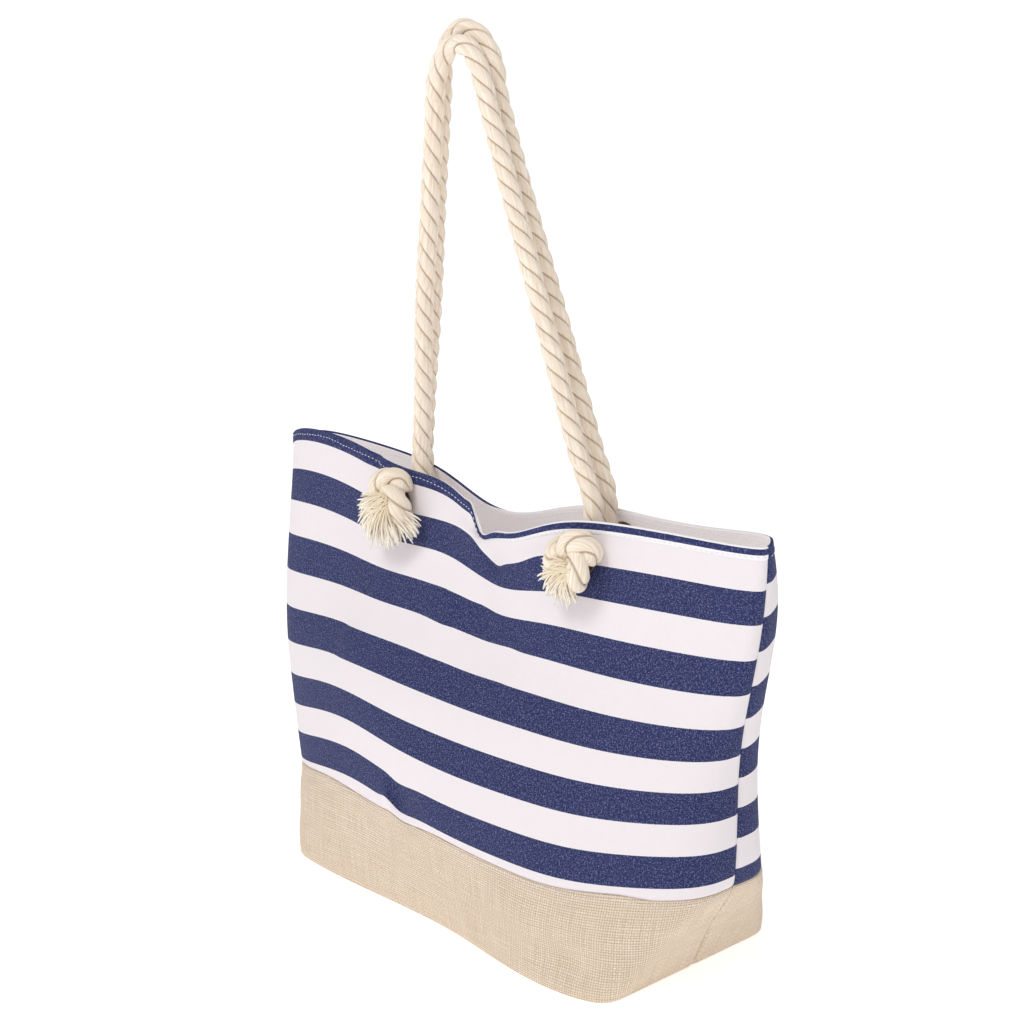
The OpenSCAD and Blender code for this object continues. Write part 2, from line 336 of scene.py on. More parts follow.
def stripedCanvas(name, top):
    # Navy where the height on the cut cloth falls in a stripe: stripes alternate below top
    f = Finish(name, Roughness=0.85, Sheen_Weight=0.04, Sheen_Roughness=0.5, Specular_IOR_Level=0.15)
    u, v = f.cut()
    height = canvasWeave(f, u, v, canvasLook["yarn"])
    fleck = f.noise(f.join(u * 0.8, v * 1.2), 0.95, 2, 0.7)
    slub = f.noise(f.join(u * 1.5, v * 0.5), 0.8, 2, 0.7)
    edge = v + (f.noise(f.join(u, 0.0), 0.6, 3, 0.7) - 0.5) * 0.9
    phase = ((edge * -1 + top) / (2 * canvasLook["stripe"])).math("FRACT")
    navyShare = phase.math("LESS_THAN", 0.5) * edge.math("LESS_THAN", top)
    cloud = f.noise(f.place(), 9.0, 3, 0.55)
    light = f.spread(fleck, 0.54, 0.7, 0.0, 0.8)
    lightSlub = f.spread(slub, 0.56, 0.72, 0.0, 0.75)
    navy = f.mix(cloud, canvasLook["navyDark"], canvasLook["navy"])
    navy = f.mix(light.math("MAXIMUM", lightSlub), navy, canvasLook["navyLight"])
    # Darker in the weave's gaps, where the height is low: painted shade
    navy = f.mix(height * -0.35 + 0.35, navy, canvasLook["navyDark"])
    white = f.mix(height * -0.3 + 0.3, canvasLook["white"], canvasLook["whiteShade"])
    return f.finish(f.mix(navyShare, white, navy), height, canvasLook["bump"], canvasLook["depth"])


def hemCloth(name):
    # Navy where the tint, the distance in from the band's edge, is above nothing
    f = Finish(name, Roughness=0.85, Sheen_Weight=0.04, Sheen_Roughness=0.5, Specular_IOR_Level=0.15)
    u, v = f.cut()
    height = canvasWeave(f, u, v, canvasLook["yarn"])
    inside = f.tint()
    fleck = f.noise(f.join(u * 0.9, v * 0.5), 0.7, 3, 0.6)
    share = (inside + (fleck - 0.5) * 0.7).math("GREATER_THAN", 0.0)
    # Both colours darken in the weave's gaps, where the height is low: painted shade
    navy = f.mix(height * -0.4 + 0.4, canvasLook["navy"], canvasLook["navyDark"])
    navy = f.mix(f.spread(fleck, 0.5, 0.75, 0.0, 0.5), navy, canvasLook["navyLight"])
    white = f.mix(height * -0.3 + 0.3, canvasLook["hemWhite"], canvasLook["whiteShade"])
    return f.finish(f.mix(share, white, navy), height, canvasLook["bump"], canvasLook["depth"])


liningLook = {
    "cloth": rgb(252, 248, 248),
    # shade is painted shade in the weave's gaps and also the tone of darker flecks
    "shade": rgb(236, 230, 230),
    # a painted glow: its colour, then its strength
    "through": rgb(250, 244, 245),
    "glow": 0.1,
    "yarn": 1.0,
    "bump": 0.5,
    "depth": 0.25,
}


def liningCloth(name):
    # The cloth gives a little light of its own: a painted glow that brightens the lining
    f = Finish(name, Roughness=0.88, Sheen_Weight=0.2, Sheen_Roughness=0.5, Specular_IOR_Level=0.25)
    f.feed(f.shader.inputs["Emission Color"], liningLook["through"])
    f.feed(f.shader.inputs["Emission Strength"], liningLook["glow"])
    u, v = f.cut()
    height = canvasWeave(f, u, v, liningLook["yarn"])
    fleck = f.noise(f.join(u * 0.15, v), 0.5, 3, 0.6)
    # Darker in the weave's gaps, where the height is low: painted shade; the darker flecks are the cloth's own
    # tone
    shade = (height * -0.5 + 0.5).math("MAXIMUM", f.spread(fleck, 0.45, 0.8, 0.0, 0.6))
    cloth = f.mix(shade, liningLook["cloth"], liningLook["shade"])
    return f.finish(cloth, height, liningLook["bump"], liningLook["depth"])


weaveLook = {
    "yarn": rgb(218, 195, 170),
    "pale": rgb(246, 232, 214),
    # deep is painted shade in the weave's gaps
    "deep": rgb(160, 131, 101),
    "pitch": 2.0,
    "wander": 1.3,
    "wanderScale": 0.18,
    "bump": 0.9,
    "depth": 0.6,
}


def wovenStraw(name):
    # Coarse plain weave of uneven yarns, each run of yarn with its own tone
    f = Finish(name, Roughness=0.8, Sheen_Weight=0.1, Specular_IOR_Level=0.3)
    u, v = f.cut()
    height, over = plainWeave(f, u, v, weaveLook["pitch"], weaveLook["wander"], weaveLook["wanderScale"])
    across = f.noise(f.join(u * 0.03, v), 0.9, 2, 0.6)
    down = f.noise(f.join(u, v * 0.03), 0.9, 2, 0.6)
    tone = f.mix(over, down, across)
    share = f.node("MapRange", {}, {0: f.node("RGBToBW", {}, {0: tone}), 1: 0.32, 2: 0.68})
    cloth = f.mix(share, weaveLook["yarn"], weaveLook["pale"])
    # Darker in the weave's gaps, where the height is low: painted shade
    cloth = f.mix((height * -1.15 + 0.95).math("MAXIMUM", 0.0), cloth, weaveLook["deep"])
    return f.finish(cloth, height, weaveLook["bump"], weaveLook["depth"])


ropeLook = {
    "cotton": rgb(247, 234, 218),
    "warm": rgb(222, 203, 180),
    # groove is painted shade between the strands
    "groove": rgb(165, 138, 108),
    "knot": rgb(251, 239, 220),
    "yarn": rgb(250, 243, 230),
    "yarnRoot": rgb(226, 204, 168),
}


def twistedCotton(name, cotton):
    # u runs round the rope and v along it; the tint attribute is 0 in a groove and 1 on a strand's crown
    f = Finish(name, Roughness=0.9, Sheen_Weight=0.35, Sheen_Roughness=0.6, Specular_IOR_Level=0.2)
    u, v = f.cut()
    crown = f.tint()
    fibre = f.noise(f.join(u, v * 0.06), 1.6, 3, 0.65)
    yarn = f.noise(f.join(u, v * 0.03), 0.75, 2, 0.5)
    fuzz = f.noise(f.place(), 900.0, 2, 0.6)
    colour = f.mix(f.spread(yarn, 0.35, 0.7, 0.0, 0.9), cotton, ropeLook["warm"])
    # Darker towards the grooves between strands: painted shade
    colour = f.mix(f.spread(crown, 0.0, 0.22, 0.75, 0.0), colour, ropeLook["groove"])
    return f.finish(colour, fibre * 0.7 + yarn * 0.9 + fuzz * 0.25, 0.7, 0.6)


def yarnCotton(name):
    # The tint attribute is 0 at a yarn's root and 1 at its tip
    f = Finish(name, Roughness=0.9, Sheen_Weight=0.35, Sheen_Roughness=0.6, Specular_IOR_Level=0.2)
    root = f.spread(f.tint(), 0.0, 1.0, 0.8, 0.0)
    fuzz = f.noise(f.place(), 1300.0, 2, 0.6)
    return f.finish(f.mix(root, ropeLook["yarn"], ropeLook["yarnRoot"]), fuzz, 0.4, 0.3)


fittingLook = {
    "brassDark": rgb(96, 78, 56),
    "brassWorn": rgb(150, 124, 88),
    "thread": rgb(244, 243, 248),
    "threadShade": rgb(214, 214, 226),
}


def brassMetal(name):
    f = Finish(name, Metallic=1.0, Roughness=0.3)
    wear = f.noise(f.place(), 220.0, 3, 0.6)
    colour = f.mix(wear, fittingLook["brassDark"], fittingLook["brassWorn"])
    return f.finish(colour, wear, 0.15, 0.2, roughness=f.spread(wear, 0.0, 1.0, 0.22, 0.45))


def threadCotton(name):
    f = Finish(name, Roughness=0.75, Sheen_Weight=0.2, Specular_IOR_Level=0.3)
    ply = f.noise(f.place(), 1500.0, 2, 0.6)
    return f.finish(f.mix(ply, fittingLook["threadShade"], fittingLook["thread"]), ply, 0.3, 0.2)


finishes = {
    "frontCanvas": stripedCanvas("frontCanvas", canvasLook["stripeTop"][0]),
    "backCanvas": stripedCanvas("backCanvas", canvasLook["stripeTop"][1]),
    "lining": liningCloth("liningCloth"),
    "straw": wovenStraw("wovenStraw"),
    "rope": twistedCotton("twistedCotton", ropeLook["cotton"]),
    "knot": twistedCotton("knotCotton", ropeLook["knot"]),
    "yarn": yarnCotton("yarnCotton"),
    "brass": brassMetal("brassMetal"),
    "thread": threadCotton("threadCotton"),
    "hem": hemCloth("hemCanvas"),
}
print("finishes made")

# The bag's outline

bag = {
    "topW": 548,
    "height": 344,
    "baseW": 380,
    "baseD": 180,
    "baseH": 84,
    "hemH": 10,
    # pairs are the front's value and the back's: how far the top edge bows out, the depth of its dip, and the
    # dip's place and half width
    "bow": (32, 18),
    "sag": (22, 22),
    "sagX": (36, -4),
    "sagW": (52, 70),
    # shares along the height: of the width gained from base to top, and of the base's half depth that is left;
    # then the exponent of the rounded outline
    "spread": [[0, 0], [0.12, 0.26], [0.25, 0.58], [0.5, 0.67], [0.75, 0.86], [1, 1]],
    "belly": (
        [[0, 1], [0.12, 1], [0.25, 1], [0.5, 0.83], [0.75, 0.28], [1, 0]],
        [[0, 1], [0.12, 0.92], [0.25, 0.83], [0.5, 0.62], [0.75, 0.33], [1, 0]],
    ),
    "squareness": [[0, 16], [0.12, 7], [0.25, 3.3], [0.5, 2.9], [0.75, 2.5], [1, 2.2]],
    "canvasT": 1.4,
    "weaveT": 1.8,
    "liningT": 0.6,
    "liningInset": 2.1,
    # half of the gap between front and back at the side seams, and the shallow groove along them
    "seamGap": 0.15,
    "seamDip": 1.2,
    "seamWide": 2.4,
    # how far below baseH the weave's upper edge runs, across the bag
    "seamDrop": [[-240, 0], [-150, 2], [-76, 7], [-30, 6], [25, 2], [80, 3], [126, 3.5], [190, 2], [215, 5]],
    "seamDropBack": [[-190, 0], [200, 5]],
    # rows that are added close to a sheet's edges, and how far from the edge a tuck reaches
    "edgeRows": (0.7, 1.5, 2.4),
    "tuckReach": 1.1,
}
front, back = 0, 1
sides = ((front, "front"), (back, "back"))

folds = {
    "columns": 12,
    "rows": 9,
    "halfWidth": 275,
    # how sharply the walls take on the seam's own rise and sway towards it
    "seamNear": 12,
    "swayNear": 4,
    # millimetres out of the wall, then of rise: a row for each place from the left seam to the right, and in
    # it the values from floor to top
    "front": (
        [
            [-11, -9, -4, 8, 20, 28, 22, 10, -4],
            [-7, -8, -7, 3, 13, 19, 8, -2, -8],
            [-4, -4, -4, 0, 1, 0, -7, -10, -11],
            [-3, 2, 4, 2, 2, -7, -6, -8, -11],
            [-3, 2, 5, 5, 12, 2, 3, 3, -5],
            [-5, -1, 7, 14, 16, 1, -11, -7, 2],
            [-2, 0, 8, 15, 8, -2, -2, 9, 14],
            [9, 12, 10, 8, 3, 0, 0, 6, 13],
            [15, 15, 9, 2, -3, -1, -2, -2, 6],
            [10, 1, -8, -11, -10, -6, -7, -5, 3],
            [2, -10, -21, -25, -20, -14, -10, -4, 3],
            [-7, -17, -26, -28, -25, -19, -11, -4, 3],
        ],
        [
            [0, 0, -13, -24, -24, -16, -4, 6, 14],
            [0, 0, -16, -26, -24, -11, 4, 10, 14],
            [0, 0, -11, -17, -15, -5, 8, 13, 13],
            [0, 0, 3, 3, 0, 0, 4, 9, 11],
            [0, 0, 10, 14, 6, 3, -1, 0, 5],
            [0, 0, 5, 6, 4, 4, 5, 2, -1],
            [0, 0, 1, -1, 2, 3, -1, -5, -6],
            [0, 0, -2, -3, -2, 0, 0, -3, -7],
            [0, 0, -4, -6, -4, -4, 1, 1, -6],
            [0, 0, 1, 0, -3, -5, 2, 2, -6],
            [0, 0, 2, 3, 0, -4, 0, 0, -5],
            [0, 0, 1, 2, 0, -2, -2, -2, -3],
        ],
    ),
    "back": (
        [
            [0, 0, 0, 0, 0, 1, 1, 3, 4],
            [0, 0, 0, 0, 1, 2, 2, 2, 2],
            [0, 0, 0, 1, 2, 3, 3, 2, -1],
            [0, 0, 1, 1, 2, 3, 3, 0, -6],
            [0, 0, 1, 2, 2, 3, 2, -3, -12],
            [0, 0, 1, 1, 2, 1, -3, -12, -16],
            [0, 0, 0, 0, 0, -1, -4, -9, -14],
            [0, -2, -3, -3, -2, -1, -1, -3, -9],
            [-1, -3, -6, -7, -4, 2, 5, 0, -5],
            [-1, -5, -9, -12, -7, 11, 23, 15, 3],
            [-3, -7, -10, -10, -1, 25, 54, 34, 15],
            [-5, -7, -8, -3, 10, 31, 55, 41, 29],
        ],
        [
            [0, 0, 0, 0, 1, 2, 4, 6, 8],
            [0, 0, 0, 1, 1, 2, 4, 5, 5],
            [0, 0, 0, 1, 2, 3, 3, 2, 0],
            [0, 0, 1, 1, 2, 3, 3, -1, -5],
            [0, 0, 1, 2, 3, 3, 2, -3, -9],
            [0, 0, 1, 2, 3, 3, 0, -6, -10],
            [0, 0, 1, 2, 3, 3, 2, -3, -10],
            [0, 0, 0, 1, 2, 4, 4, -1, -11],
            [0, 0, 0, 0, 2, 4, 2, -6, -15],
            [0, 0, -1, -1, 2, 4, 4, -5, -14],
            [0, 0, -1, 0, 2, 6, 10, 4, -6],
            [0, 0, 0, 1, 4, 9, 14, 12, 6],
        ],
    ),
    "rightEnd": [6.1, 6.5, 6.3, 4.0, 2.1, 2.7, 2.1, 0.4, 0.0],
    "leftEnd": [14, 5, -11, -4, 8, 15, 6, -4, -8],
    "leftRise": [5, 3, -1, -8, -11, -7, -2, -4, -11],
    "seamSway": [0.1, -0.3, -3.3, -2.3, -1.4, -5.1, 4.9, 3.3, -6.0],
    # sharp local folds of the front: place across, reach to the left and right, height on the cloth, reach up
    # and down, millimetres out and of rise
    "creases": [
        (9.5, 4.5, 16, 344, 16, -1, -14),
        (5, 12, 4, 344, 15, 2, 6),
        (6, 32, 7, 311, 13, 4, 8.5),
        (29, 7, 12, 311, 12, -4, -6),
        (85, 22, 25, 311, 14, 1, 5.4),
        (-29, 8, 22, 101, 18, -5, -9),
        (-37, 12, 5, 87, 11, 4, 6),
        (-126, 9, 6, 336, 14, -4, -1),
        (158, 22, 26, 26, 12, -6, 0),
        (120, 26, 14, 52, 14, 3, 0),
        (20, 10, 18, 262, 22, -3, 0),
        (-14, 22, 10, 240, 26, 3, 0),
        (-120, 10, 40, 200, 16, 3, 0),
        (60, 26, 12, 228, 14, -3, 1),
        (-40, 34, 14, 262, 12, 2.5, 0),
    ],
}


def hillWeights(place, count):
    # Weights of a uniform cubic B-spline, in which each control value spreads over four cells:
    # (1 - u)^3, 3u^3 - 6u^2 + 4, -3u^3 + 3u^2 + 3u + 1 and u^3, all over 6
    place = np.clip(place, 1, count - 2 - 1e-6)
    k = np.floor(place).astype(int)
    u = place - k
    weights = np.zeros(place.shape + (count,))
    parts = ((1 - u) ** 3, 3 * u**3 - 6 * u**2 + 4, -3 * u**3 + 3 * u**2 + 3 * u + 1, u**3)
    for step, part in zip((-1, 0, 1, 2), parts):
        at = np.clip(k + step, 0, count - 1)[..., None]
        np.put_along_axis(weights, at, np.take_along_axis(weights, at, -1) + part[..., None] / 6, -1)
    return weights


def upWeights(t):
    return hillWeights(1 + t * (folds["rows"] - 3), folds["rows"])


def drape(side, x, t):
    # How far the cloth stands out of the plain outline and rises above it: two sheets of control values
    # blended across the bag and up it, and on the front a bell for each crease
    tables = folds["front" if side == front else "back"]
    share = (x / folds["halfWidth"] + 1) / 2
    across = hillWeights(1 + share * (folds["columns"] - 3), folds["columns"])
    upwards = upWeights(t)
    out, rise = (np.einsum("...i,...j,ij->...", across, upwards, table) for table in tables)
    for place, left, right, high, reach, push, lift in folds["creases"] if side == front else ():
        reachAcross = np.where(x < place, left, right)
        share = np.exp(-(((x - place) / reachAcross) ** 2) - ((t * bag["height"] - high) / reach) ** 2)
        out, rise = out + push * share, rise + lift * share
    return out, rise


def upTheSeam(t, values):
    return upWeights(t) @ np.array(values, float)


def bagSurface(side, turn, t, inset=0.0):
    # Superellipse |x / wide|^n + |y / deep|^n = 1 whose half width, half depth and exponent change with the
    # height, the front at -Y, with a dip in the top edge; turn is the angle from the right seam, t the share
    # of the height
    turn, t, inset = np.broadcast_arrays(*(np.asarray(v, float) for v in (turn, t, inset)))
    n = smoothTable(t, bag["squareness"])
    wide = bag["baseW"] / 2 + (bag["topW"] - bag["baseW"]) / 2 * smoothTable(t, bag["spread"])
    deep = bag["bow"][side] + (bag["baseD"] / 2 - bag["bow"][side]) * smoothTable(t, bag["belly"][side])
    c, s = np.cos(np.radians(turn)), np.sin(np.radians(turn))
    r = (np.abs(c) ** n + np.abs(s) ** n + 1e-12) ** (-1 / n)
    groove = bag["seamDip"] * np.exp(-((r * s * deep / bag["seamWide"]) ** 2))
    wide = wide + np.where(c > 0, upTheSeam(t, folds["rightEnd"]), upTheSeam(t, folds["leftEnd"]))
    x = (wide - inset - groove) * r * c
    out, rise = drape(side, wide * r * c, t)
    seamRise = np.where(c > 0, drape(front, wide, t)[1], upTheSeam(t, folds["leftRise"]))
    near = np.abs(c) ** folds["seamNear"]
    rise = rise * (1 - near) + seamRise * near
    y = bag["seamGap"] + (deep - inset + out * np.clip(s * 3, 0, 1)) * r * s
    dip = np.exp(-(((x - bag["sagX"][side]) / bag["sagW"][side]) ** 2))
    z = bag["height"] * t - bag["sag"][side] * t**4 * dip
    sway = upTheSeam(t, folds["seamSway"]) * np.clip(c, 0, 1) ** folds["swayNear"]
    return np.stack([x, (-y if side == front else y) + sway, z + rise], -1)


def cutPattern(grid, t):
    # Flat coordinates in millimetres: u is the run along the cloth from the middle, v the height on the cloth
    run = np.cumsum(np.linalg.norm(np.diff(grid, axis=1), axis=2), axis=1)
    run = np.concatenate([np.zeros((len(grid), 1)), run], 1)
    middle = run[:, run.shape[1] // 2][:, None]
    v = bag["height"] * t
    return np.stack([run - middle, v], -1)


def seamDrop(side, turn):
    x = bagSurface(side, turn, bag["baseH"] / bag["height"])[..., 0]
    return smoothTable(x, bag["seamDrop" if side == front else "seamDropBack"])


def seamToSeam(side, count):
    # Turns from one side seam to the other, run so that a sheet's faces point outwards on both sides
    turn = np.linspace(0, 180, count)
    return turn[::-1] if side == front else turn


def wallGrid(side, z0, z1, rows, cols, inset=0.0, tuckLow=0.0, tuckHigh=0.0, dropLow=0, dropHigh=0):
    # Rows of the outline from z0 to z1; the edges may tuck in and may follow the weave's upper edge
    edge, reach = np.array(bag["edgeRows"]), bag["tuckReach"]
    z = np.sort(np.concatenate([np.linspace(z0, z1, rows), z0 + edge, z1 - edge]))
    turn = seamToSeam(side, cols)
    inset = inset + tuckLow * np.exp(-(((z - z0) / reach) ** 2))
    inset = inset + tuckHigh * np.exp(-(((z1 - z) / reach) ** 2))
    share = (z - z0) / (z1 - z0)
    follow = dropLow * (1 - share) ** 3 + dropHigh * share**3
    t = (z[:, None] - follow[:, None] * seamDrop(side, turn)[None, :]) / bag["height"]
    grid = bagSurface(side, turn[None, :], t, inset[:, None])
    return grid, cutPattern(grid, t)


# Rope

rope = {
    "diameter": 15.0,
    "lay": 47.0,
    "strandR": 5.3,
    "strandAt": 2.5,
    # depth of the crease between two strands, and its width as a share of a strand
    "crease": 0.75,
    "creaseW": 0.1,
    # the last three rings of a piece, as shares of its thickness
    "taper": (0.88, 0.95, 0.99),
    "around": 72,
    "step": 1.4,
    "startTurn": 0.4,
    # heights of the two bends, and how far above and below each one the stretch about it reaches
    "kneeHeights": (352.0, 397.0),
    "kneeReach": (11, 13),
    # half the length of the way through the wall, and the corner inside it: above the way, and above that
    "throat": 6.0,
    "cornerRise": 1,
    "topRise": 14,
}


def ropeMesh(name, path, run, scale=1.0, turnFrom=0.0, body="bag", material="rope"):
    # Union of three round strands as one outline: the distance to the outline at each angle is the far edge
    # of the strand's circle, cut by a narrow crease between strands, and it turns once in every lay
    along, side, up = carriedFrame(path)
    count = rope["around"]
    phi = np.arange(count) / count * 2 * pi
    off = (phi + pi / 3) % (2 * pi / 3) - pi / 3  # angle from the nearest strand's middle
    centre, radius = rope["strandAt"] * scale, rope["strandR"] * scale
    reach = centre * np.cos(off) + np.sqrt(radius**2 - (centre * np.sin(off)) ** 2)
    crown = 1 - np.abs(off) / (pi / 3)
    reach = reach - rope["crease"] * scale * np.exp(-((crown / rope["creaseW"]) ** 2))
    twist = -2 * pi * (run / rope["lay"]) + turnFrom
    angle = phi[None, :] + twist[:, None]
    bulge = np.ones(len(path))
    bulge[:3], bulge[-3:] = rope["taper"], rope["taper"][::-1]
    ring = side[:, None] * np.cos(angle)[..., None] + up[:, None] * np.sin(angle)[..., None]
    points = path[:, None] + ring * (reach[None, :] * bulge[:, None])[..., None]
    faces, row, col = gridFaces(len(path), count, closed=True)
    aroundAt = (col / count * 2 * pi + twist[row]) * rope["diameter"] / 2 * scale
    uv = np.stack([aroundAt, run[row]], -1).reshape(-1, 2).tolist()
    # each end is closed by a low dome
    size = len(path) * count
    points = np.vstack([points.reshape(-1, 3), path[0] - along[0] * scale, path[-1] + along[-1] * scale])
    faces = faces.tolist() + fanFaces(0, count, size, backwards=True)
    faces += fanFaces(size - count, count, size + 1)
    uv += [[0, 0], [0.5, 0], [0, 0.5]] * (2 * count)
    tints = np.append(np.tile(crown, len(path)), [0.4, 0.4])
    return makePiece(name, points, faces, uv, body, finishes[material], "rope", tints)


ropeRoutes = {
    "front": {
        "body": ("front_neck", "front_handle"),
        "knees": ((-78, -18.073, 352), (120, -18.073, 352)),
        "upper": [
            (-73, -17.073, 397), (-65, -17, 480), (-53, -16, 560), (-44, -14, 636), (-39, -14, 656),
            (-28, -14, 671), (-13, -14, 677), (1, -14, 671), (10, -14, 656), (16, -14, 636), (44, -16, 560),
            (73, -17, 480), (101, -17.073, 397),
        ],
    },
    "back": {
        "body": ("back_neck", "back_handle"),
        "knees": ((-102.5, 5.547, 352), (110.5, 5.547, 352)),
        "upper": [
            (-95, 4.547, 397), (-80, 4, 480), (-68, 3, 560), (-55, 2, 636), (-52, 2, 660), (-40, 1, 679),
            (-22, 0, 687), (-4, 1, 679), (7, 2, 660), (11, 2, 636), (36, 3, 560), (65, 4, 480),
            (94, 4.547, 397),
        ],
    },
}
eyeletPlaces = {
    ("front", "left"): ((-84, -36.307, 316), (-0.031, -0.982, 0.185)),
    ("front", "right"): ((126, -34.473, 316), (0.056, -0.982, 0.180)),
    ("back", "left"): ((-108.5, 24.458, 316), (-0.030, 0.966, 0.257)),
    ("back", "right"): ((116.5, 24.193, 316), (0.034, 0.966, 0.255)),
}


def bendAt(piece, y, knee, lower, upper):
    # Works out the ends of a short stretch about a bend, and bakes the piece's place into its mesh
    height, reach = rope["kneeHeights"][knee], rope["kneeReach"][knee]
    start, end = ((0, y * mm, z * mm) for z in (height - reach, height + reach))
    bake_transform(piece)


handlePieces = {}
for sideName, route in ropeRoutes.items():
    upperNodes = route["upper"]
    ends, onward = [], []
    for hand in (0, 1):
        knee = np.array(route["knees"][hand], float)
        second = np.array(upperNodes[0 if hand == 0 else -1], float)
        ends.append(knee + (second - knee) * 0.5)
        onward.append(unit(second - knee) * 3 * rope["step"])
    # both pieces run three steps past the split and taper inside each other
    path, run = evenPath([ends[0] - onward[0], *upperNodes, ends[1] - onward[1]], rope["step"])
    upper = ropeMesh(f"{sideName}Handle", path, run, body=None, turnFrom=rope["startTurn"])
    bendAt(upper, path[0][1], 1, *route["body"])
    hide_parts(f"{sideName}_loop")
    lower = []
    for hand, handName in enumerate(("left", "right")):
        point, normal = (np.array(v, float) for v in eyeletPlaces[(sideName, handName)])
        knee = np.array(route["knees"][hand], float)
        # in through the wall, then a parabola (1 - u)^2 inner + 2u(1 - u) corner + u^2 top up to the hem
        inner = point - rope["throat"] * normal
        corner = np.array([(inner[0] + knee[0]) / 2, knee[1], inner[2] + rope["cornerRise"]])
        top = np.array([knee[0], knee[1], inner[2] + rope["topRise"]])
        u = np.array([0.25, 0.5, 0.75])[:, None]
        bend = (1 - u) ** 2 * inner + 2 * u * (1 - u) * corner + u**2 * top
        outer, last = point + rope["throat"] * normal, ends[hand] + onward[hand]
        legPath, legRun = evenPath([outer, point, inner, *bend, top, knee, last], rope["step"])
        # the strands carry on from the upper rope's end
        end = 3 if hand == 0 else -4
        upperSide, upperUp = (v[end] for v in carriedFrame(path)[1:])
        turned = rope["startTurn"] - 2 * pi * run[end] / rope["lay"]
        strand = upperSide * cos(turned) + upperUp * sin(turned)
        legSide, legUp = (v[-4] for v in carriedFrame(legPath)[1:])
        turnFrom = np.arctan2(strand @ legUp, strand @ legSide) + 2 * pi * legRun[-4] / rope["lay"]
        leg = ropeMesh(f"{sideName}Leg{handName.capitalize()}", legPath, legRun, body=None, turnFrom=turnFrom)
        bendAt(leg, knee[1], 0, "bag", route["body"][0])
        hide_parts(f"tail_{sideName}_{handName}", f"{sideName}_neck_{handName}")
        lower.append(leg)
    handlePieces[sideName] = (upper, path, lower)
    print(f"{sideName} rope made, {run[-1]:.0f} mm above the split")

# Knots and frayed ends

knot = {
    "size": 4.3,
    "depth": 5.0,
    "out": 13.0,
    "ropeScale": 0.97,
    "startTurn": 0.7,
    "step": 0.98,
}
tassel = {
    "root": 7.0,
    "steps": 9,
    "sides": 5,
    "thin": 0.62,
    "thickMore": 0.2,
    "low": 2.2,
    "lift": 9,
    "arch": 3.5,
    "droop": 3.0,
}
knots = {
    # turn of the knot and its size, way the yarns hang, half width of the fan in radians, number of yarns,
    # their length, where they start, how far those on the left stand off the wall, how far out they start, and
    # the knot's shift
    ("front", "left"): {
        "turn": 65, "scale": 1.3, "fray": 254, "spread": 1.3, "count": 360, "length": 29, "from": (11, 6),
        "stand": 20, "high": 24, "shift": (2, 6),
    },
    ("front", "right"): {
        "turn": 20, "scale": 1.24, "fray": 226, "spread": 0.75, "count": 230, "length": 25, "from": (6, -8),
        "stand": 12, "high": 23, "shift": (2, -1),
    },
    ("back", "left"): {
        "turn": 40, "scale": 0.92, "fray": 250, "spread": 0.8, "count": 170, "length": 26, "from": (4, -19),
        "stand": 3, "high": 20, "shift": (4, -23),
    },
    ("back", "right"): {
        "turn": 80, "scale": 0.95, "fray": 290, "spread": 0.8, "count": 170, "length": 26, "from": (0, -16),
        "stand": 3, "high": 20, "shift": (0, -16),
    },
}


def localAxes(sideName, handName):
    # Across to the right as seen from outside, up along the wall, and out of the wall
    point, normal = (np.array(v, float) for v in eyeletPlaces[(sideName, handName)])
    outward = unit(normal)
    across = unit(np.cross([0.0, 0.0, 1.0], outward))
    return point, across, np.cross(outward, across), outward


def knotPath(turn, size, depth):
    # An open trefoil, which is what an overhand knot is: (sin s + 2 sin 2s, cos s - 2 cos 2s, -sin 3s)
    s = np.linspace(0.12 * pi, 1.93 * pi, 60)
    a = np.sin(s) + 2 * np.sin(2 * s)
    b = np.cos(s) - 2 * np.cos(2 * s)
    c = -np.sin(3 * s)
    w = radians(turn)
    return np.stack([(a * cos(w) - b * sin(w)) * size, (a * sin(w) + b * cos(w)) * size, c * depth], -1)


def makeKnot(sideName, handName, look):
    point, across, up, outward = localAxes(sideName, handName)
    local = knotPath(look["turn"], knot["size"] * look["scale"], knot["depth"])
    local[:, 2] += knot["out"]
    local = local - [local[:, 0].mean() - look["shift"][0], local[:, 1].mean() - look["shift"][1], 0]
    world = point + local[:, :1] * across + local[:, 1:2] * up + local[:, 2:] * outward
    path, run = evenPath(world[::3], knot["step"])
    name, scale = f"{sideName}Knot{handName.capitalize()}", knot["ropeScale"] * look["scale"]
    return ropeMesh(name, path, run, scale, knot["startTurn"], material="knot")


